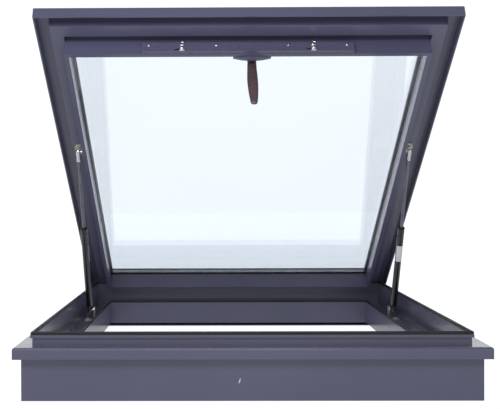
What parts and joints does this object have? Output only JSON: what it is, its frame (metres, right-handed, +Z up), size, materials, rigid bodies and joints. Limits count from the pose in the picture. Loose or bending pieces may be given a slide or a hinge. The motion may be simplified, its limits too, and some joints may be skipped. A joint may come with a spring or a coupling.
{
  "type": "roof skylight",
  "caption": "Openable flat-roof skylight: kerb frame with gutter, rear-hinged double-glazed lid held open by two gas struts, and a lever handle driving a lock bar.",
  "frame": {"origin": "centre of the kerb's underside", "axes": "+Z up; -Y is the lock side, +Y the hinge side; +X to the right seen from the lock side"},
  "size_m": [0.968, 1.376, 0.8257],
  "materials": {
    "powder_coat": "satin anthracite powder coat with a faint violet cast",
    "hinge_coat": "satin dark powder coat",
    "rubber_seal": "matt black",
    "bright_steel": "bright plated steel",
    "zinc_steel": "yellow-tinted zinc plate",
    "clear_glass": "clear, faintly blue",
    "spacer_aluminium": "mill-finish spacer bar",
    "handle_brown": "dark brown satin coat",
    "tube_paint": "gloss black paint",
    "black_plastic": "matt",
    "rod_steel": "dark nitrided steel",
    "label_white": "blank white film"
  },
  "bodies": {
    "base": {"kerb_wall_front": "powder_coat", "kerb_wall_rear": "powder_coat", "kerb_wall_left": "powder_coat", "kerb_wall_right": "powder_coat", "frame_front": "powder_coat", "frame_rear": "powder_coat", "frame_left": "powder_coat", "frame_right": "powder_coat", "rim_seal": "rubber_seal", "inner_seal": "rubber_seal", "keepers": "zinc_steel", "base_screws": "bright_steel", "hinge_base_left": "hinge_coat", "hinge_base_right": "hinge_coat", "hinge_pin_left": "bright_steel", "hinge_pin_right": "bright_steel", "strut_bracket_lower_left": "zinc_steel", "strut_bracket_lower_right": "zinc_steel", "strut_studs_lower": "bright_steel"},
    "lid": {"cover_front": "powder_coat", "cover_rear": "powder_coat", "cover_left": "powder_coat", "cover_right": "powder_coat", "sash_front": "powder_coat", "sash_rear": "powder_coat", "sash_left": "powder_coat", "sash_right": "powder_coat", "glass_outer": "clear_glass", "glass_inner": "clear_glass", "glass_spacer": "spacer_aluminium", "glazing_tape": "rubber_seal", "cover_gasket": "rubber_seal", "hinge_lid_left": "hinge_coat", "hinge_lid_right": "hinge_coat", "lid_screws": "bright_steel", "strut_bracket_upper_left": "zinc_steel", "strut_bracket_upper_right": "zinc_steel", "lock_housing": "powder_coat", "handle_base": "powder_coat"},
    "handle": {"handle_lever": "handle_brown", "handle_spindle": "zinc_steel", "lock_gear": "zinc_steel"},
    "lock_bar": {"drive_bar": "zinc_steel", "lock_cams": "bright_steel"},
    "strut_tube_left": {"strut_tube_left": "tube_paint", "strut_guide_left": "black_plastic", "strut_socket_lower_left": "bright_steel"},
    "strut_rod_left": {"strut_rod_left": "rod_steel", "strut_piston_left": "bright_steel", "strut_socket_upper_left": "bright_steel", "strut_stud_upper_left": "bright_steel"},
    "strut_tube_right": {"strut_tube_right": "tube_paint", "strut_guide_right": "black_plastic", "strut_socket_lower_right": "bright_steel"},
    "strut_rod_right": {"strut_rod_right": "rod_steel", "strut_piston_right": "bright_steel", "strut_socket_upper_right": "bright_steel", "strut_stud_upper_right": "bright_steel"}
  },
  "joints": [
    {"name": "lid_hinge", "type": "hinge", "parent": "base", "child": "lid", "pos_m": [0, 0.6795, 0.132], "axis": [1, 0, 0], "range_deg": [0, 30.5], "stiffness_Nm_per_rad": 260, "springref_deg": -94.54},
    {"name": "handle_turn", "type": "hinge", "parent": "lid", "child": "handle", "pos_m": [0.01, -0.42906, 0.74147], "axis": [0, 0.8616, -0.5075], "range_deg": [0, 90]},
    {"name": "lock_bar_slide", "type": "slide", "parent": "lid", "child": "lock_bar", "axis": [1, 0, 0], "range_m": [-0.012, 0]},
    {"name": "strut_pivot_left", "type": "hinge", "parent": "base", "child": "strut_tube_left", "pos_m": [-0.424, 0.216, 0.094], "axis": [1, 0, 0], "range_deg": [0, 57.22]},
    {"name": "strut_slide_left", "type": "slide", "parent": "strut_tube_left", "child": "strut_rod_left", "axis": [0, -0.5205, 0.8539], "range_m": [-0.14319, 0]},
    {"name": "strut_pivot_right", "type": "hinge", "parent": "base", "child": "strut_tube_right", "pos_m": [0.424, 0.216, 0.094], "axis": [1, 0, 0], "range_deg": [0, 57.22]},
    {"name": "strut_slide_right", "type": "slide", "parent": "strut_tube_right", "child": "strut_rod_right", "axis": [0, -0.5205, 0.8539], "range_m": [-0.14319, 0]}
  ],
  "couplings": [
    {"joint": "lock_bar_slide", "follows": "handle_turn", "m_per_rad": -0.0076394},
    {"joint": "strut_pivot_left", "follows": "lid_hinge", "ratio": 1.8759},
    {"joint": "strut_slide_left", "follows": "lid_hinge", "m_per_rad": -0.269},
    {"joint": "strut_pivot_right", "follows": "lid_hinge", "ratio": 1.8759},
    {"joint": "strut_slide_right", "follows": "lid_hinge", "m_per_rad": -0.269}
  ]
}
